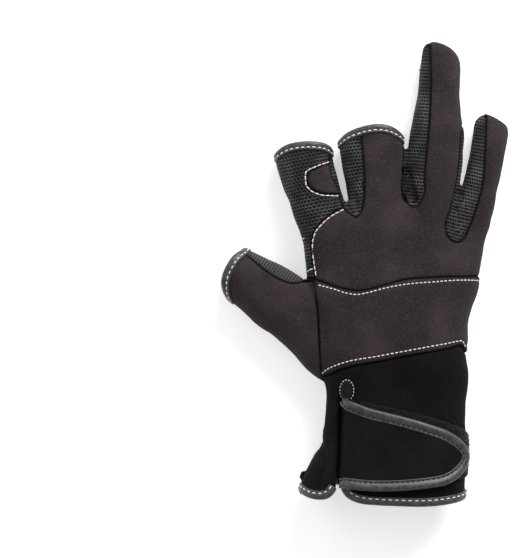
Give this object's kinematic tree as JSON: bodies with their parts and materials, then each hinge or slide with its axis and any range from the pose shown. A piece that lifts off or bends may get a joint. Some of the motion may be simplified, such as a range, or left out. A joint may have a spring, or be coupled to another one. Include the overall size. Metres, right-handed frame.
{
  "type": "fishing glove",
  "caption": "Right-hand fishing glove of foam fabric and mesh with open thumb, index and middle tips, lying on its palm, wrist strap closed.",
  "frame": {"origin": "middle of the glove's outline in plan, on the surface that it lies on", "axes": "+Y towards the fingertips, +Z out of the back of the hand, thumb on the -X side"},
  "size_m": [0.1468, 0.2398, 0.042],
  "materials": {
    "foam_fabric": "matte knit over thin foam",
    "mesh_fabric": "matte open mesh",
    "binding": "soft low gloss",
    "loop_fabric": "fuzzy loops"
  },
  "bodies": {
    "root": {"palm_panel": "mesh_fabric", "thumb_palm": "mesh_fabric", "thumb_back": "foam_fabric", "index_panel": "mesh_fabric", "nail_patch": "foam_fabric", "back_panel": "foam_fabric", "band_panel": "foam_fabric", "wrist_panel": "foam_fabric", "gusset_index_middle": "mesh_fabric", "gusset_middle_ring": "mesh_fabric", "gusset_ring_little": "mesh_fabric", "index_binding": "binding", "middle_binding": "binding", "thumb_binding": "binding", "cuff_binding": "binding", "slit_patch": "binding", "loop_patch": "loop_fabric", "strap": "foam_fabric", "strap_binding": "binding"}
  },
  "joints": []
}
